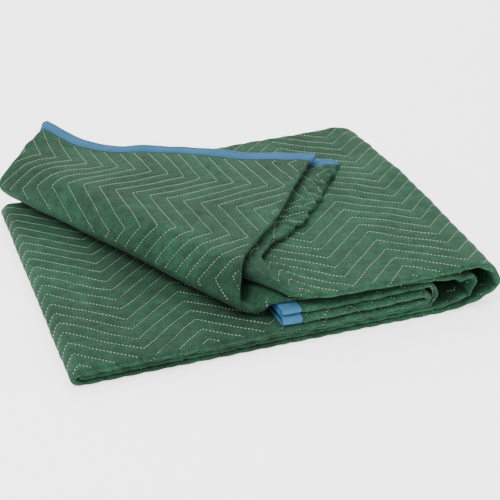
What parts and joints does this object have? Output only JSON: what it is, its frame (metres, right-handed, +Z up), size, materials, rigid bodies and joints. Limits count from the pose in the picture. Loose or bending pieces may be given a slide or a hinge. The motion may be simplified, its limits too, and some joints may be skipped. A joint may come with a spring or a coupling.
{
  "type": "folded moving blanket",
  "caption": "Quilted moving blanket folded into a flat pack of back-and-forth layers, its last stretch turned up slantwise over the top as a bound flap.",
  "frame": {"origin": "middle of the bounding box seen from above, on the surface that the pack rests on", "axes": "+X along the pack's front edge to the right, +Y to its back, +Z up"},
  "size_m": [0.5458, 0.5434, 0.0974],
  "materials": {
    "quilted_cloth": "matt woven cloth with zigzag quilting",
    "end_binding": "matt woven tape"
  },
  "bodies": {
    "root": {"quilted_cloth": "quilted_cloth", "end_binding_inner": "end_binding", "end_binding_outer": "end_binding"}
  },
  "joints": []
}
